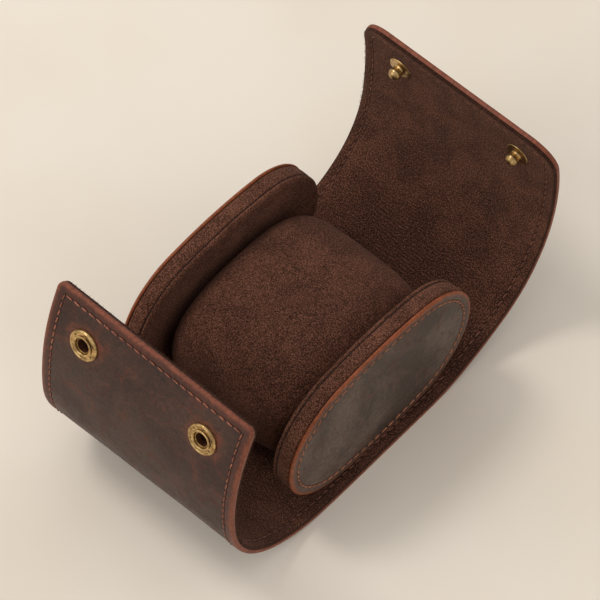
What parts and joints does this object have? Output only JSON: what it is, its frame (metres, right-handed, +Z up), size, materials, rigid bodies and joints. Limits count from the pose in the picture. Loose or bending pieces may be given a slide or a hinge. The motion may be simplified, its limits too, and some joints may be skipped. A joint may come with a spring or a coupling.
{
  "type": "watch travel case",
  "caption": "Leather watch roll: a stitched strip with front flap and snap lid wraps two oval end caps that hold a lift-out suede pillow.",
  "frame": {"origin": "middle of the underside of the flat base, on the surface that the case stands on", "axes": "+Z up; +Y from the front flap to the lid; +X to the right seen from the front"},
  "size_m": [0.084, 0.1605, 0.0943],
  "materials": {
    "outer_leather": "waxed pull-up leather, dark brown with burnished red-brown edges",
    "suede_lining": "short-napped suede, dark brown",
    "cap_leather": "smooth waxed leather, grey-brown with an orange-brown rim",
    "cap_suede": "short-napped suede, brown",
    "cap_board": "stiff fibre board",
    "pillow_suede": "short-napped suede, brown",
    "pillow_foam": "soft foam",
    "antique_brass": "antique brass, darkened in the recesses",
    "spring_wire": "bright wire"
  },
  "bodies": {
    "base": {"base_leather": "outer_leather", "base_lining": "suede_lining", "left_cap_face": "cap_leather", "left_cap_band": "cap_suede", "left_cap_core": "cap_board", "left_cap_inner_cover": "cap_suede", "right_cap_face": "cap_leather", "right_cap_band": "cap_suede", "right_cap_core": "cap_board", "right_cap_inner_cover": "cap_suede"},
    "front_panel_1": {"front_leather_1": "outer_leather", "front_lining_1": "suede_lining"},
    "front_panel_2": {"front_leather_2": "outer_leather", "front_lining_2": "suede_lining"},
    "front_panel_3": {"front_leather_3": "outer_leather", "front_lining_3": "suede_lining"},
    "front_panel_4": {"front_leather_4": "outer_leather", "front_lining_4": "suede_lining"},
    "front_panel_5": {"front_leather_5": "outer_leather", "front_lining_5": "suede_lining", "socket_rings": "antique_brass", "socket_barrels": "antique_brass", "socket_springs": "spring_wire"},
    "lid_panel_1": {"lid_leather_1": "outer_leather", "lid_lining_1": "suede_lining"},
    "lid_panel_2": {"lid_leather_2": "outer_leather", "lid_lining_2": "suede_lining"},
    "lid_panel_3": {"lid_leather_3": "outer_leather", "lid_lining_3": "suede_lining"},
    "lid_panel_4": {"lid_leather_4": "outer_leather", "lid_lining_4": "suede_lining"},
    "lid_panel_5": {"lid_leather_5": "outer_leather", "lid_lining_5": "suede_lining", "stud_posts": "antique_brass", "stud_heads": "antique_brass"},
    "pillow": {"pillow_cover": "pillow_suede", "pillow_core": "pillow_foam", "pillow_left_end": "pillow_suede", "pillow_right_end": "pillow_suede"}
  },
  "joints": [
    {"name": "front_close", "type": "hinge", "parent": "base", "child": "front_panel_1", "pos_m": [0, -0.018, 0.0008], "axis": [-1, 0, 0], "range_deg": [-2.11, 14.06]},
    {"name": "front_fold_2", "type": "hinge", "parent": "front_panel_1", "child": "front_panel_2", "pos_m": [0, -0.03399, 0.00136], "axis": [-1, 0, 0], "range_deg": [-3.4, 22.63]},
    {"name": "front_fold_3", "type": "hinge", "parent": "front_panel_2", "child": "front_panel_3", "pos_m": [0, -0.05307, 0.00683], "axis": [-1, 0, 0], "range_deg": [-1.21, 8.04]},
    {"name": "front_fold_4", "type": "hinge", "parent": "front_panel_3", "child": "front_panel_4", "pos_m": [0, -0.06791, 0.01996], "axis": [-1, 0, 0], "range_deg": [-2.19, 14.57]},
    {"name": "front_fold_5", "type": "hinge", "parent": "front_panel_4", "child": "front_panel_5", "pos_m": [0, -0.07583, 0.04231], "axis": [-1, 0, 0], "range_deg": [-2.35, 15.64]},
    {"name": "lid_close", "type": "hinge", "parent": "base", "child": "lid_panel_1", "pos_m": [0, 0.02, 0.0008], "axis": [1, 0, 0], "range_deg": [-1.93, 12.84]},
    {"name": "lid_fold_2", "type": "hinge", "parent": "lid_panel_1", "child": "lid_panel_2", "pos_m": [0, 0.0396, 0.00426], "axis": [1, 0, 0], "range_deg": [-3.7, 24.66]},
    {"name": "lid_fold_3", "type": "hinge", "parent": "lid_panel_2", "child": "lid_panel_3", "pos_m": [0, 0.0577, 0.0127], "axis": [1, 0, 0], "range_deg": [-2.87, 19.15]},
    {"name": "lid_fold_4", "type": "hinge", "parent": "lid_panel_3", "child": "lid_panel_4", "pos_m": [0, 0.0722, 0.02622], "axis": [1, 0, 0], "range_deg": [-0.3, 2]},
    {"name": "lid_fold_5", "type": "hinge", "parent": "lid_panel_4", "child": "lid_panel_5", "pos_m": [0, 0.08074, 0.04635], "axis": [1, 0, 0], "range_deg": [-3.45, 22.96]},
    {"name": "pillow_lift", "type": "slide", "parent": "base", "child": "pillow", "axis": [0, 0, 1], "range_m": [0, 0.09]}
  ],
  "couplings": [
    {"joint": "front_fold_2", "follows": "front_close", "ratio": 1.6097},
    {"joint": "front_fold_3", "follows": "front_close", "ratio": 0.57177},
    {"joint": "front_fold_4", "follows": "front_close", "ratio": 1.0359},
    {"joint": "front_fold_5", "follows": "front_close", "ratio": 1.1122},
    {"joint": "lid_fold_2", "follows": "lid_close", "ratio": 1.9211},
    {"joint": "lid_fold_3", "follows": "lid_close", "ratio": 1.4917},
    {"joint": "lid_fold_4", "follows": "lid_close", "ratio": 0.15581},
    {"joint": "lid_fold_5", "follows": "lid_close", "ratio": 1.7888}
  ]
}
